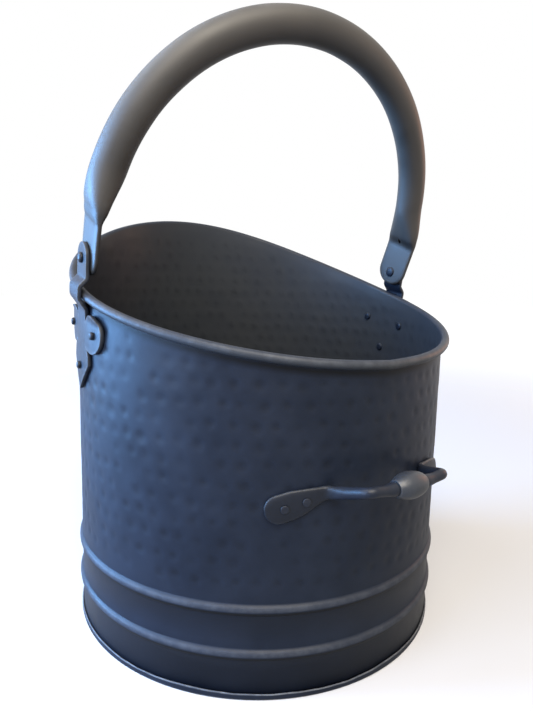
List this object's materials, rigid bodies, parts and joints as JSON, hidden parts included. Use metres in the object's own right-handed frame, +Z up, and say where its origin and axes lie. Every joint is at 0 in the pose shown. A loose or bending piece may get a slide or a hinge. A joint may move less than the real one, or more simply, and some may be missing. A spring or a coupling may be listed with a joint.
{
  "type": "coal scuttle",
  "caption": "Round black steel coal scuttle with a hammered wall, raised pouring lip, tubular bail on riveted brackets and a small tipping handle low on its back.",
  "frame": {"origin": "middle of the underside of the base, on the floor", "axes": "+Z up, +Y towards the raised pouring lip, -Y towards the tipping handle, +X along the bail's pivot axis"},
  "size_m": [0.3176, 0.3382, 0.4557],
  "materials": {
    "sheet_black": "satin black coat on hammered sheet, slightly worn on the edges",
    "wire_steel": "bare drawn wire, hidden in the rolled edge",
    "strap_black": "satin black coat on forged strap and rod",
    "rivet_black": "satin black coat on domed heads, thin on the crowns",
    "tube_black": "satin black coat on bent tube"
  },
  "bodies": {
    "bucket": {"body_shell": "sheet_black", "base_pan": "sheet_black", "rim_wire": "wire_steel", "left_bracket": "strap_black", "right_bracket": "strap_black", "tipping_handle": "strap_black", "tipping_handle_ball": "strap_black", "left_bracket_front_rivet": "rivet_black", "left_bracket_back_rivet": "rivet_black", "left_bracket_leaf_rivet": "rivet_black", "left_pivot_rivet": "rivet_black", "left_foot_inner_rivet": "rivet_black", "left_foot_outer_rivet": "rivet_black", "right_bracket_front_rivet": "rivet_black", "right_bracket_back_rivet": "rivet_black", "right_bracket_leaf_rivet": "rivet_black", "right_pivot_rivet": "rivet_black", "right_foot_inner_rivet": "rivet_black", "right_foot_outer_rivet": "rivet_black"},
    "bail": {"bail_handle": "tube_black"}
  },
  "joints": [
    {"name": "bail_swing", "type": "hinge", "parent": "bucket", "child": "bail", "pos_m": [0, -0.00882, 0.28198], "axis": [1, 0, 0], "range_deg": [-91, 88.5]}
  ]
}
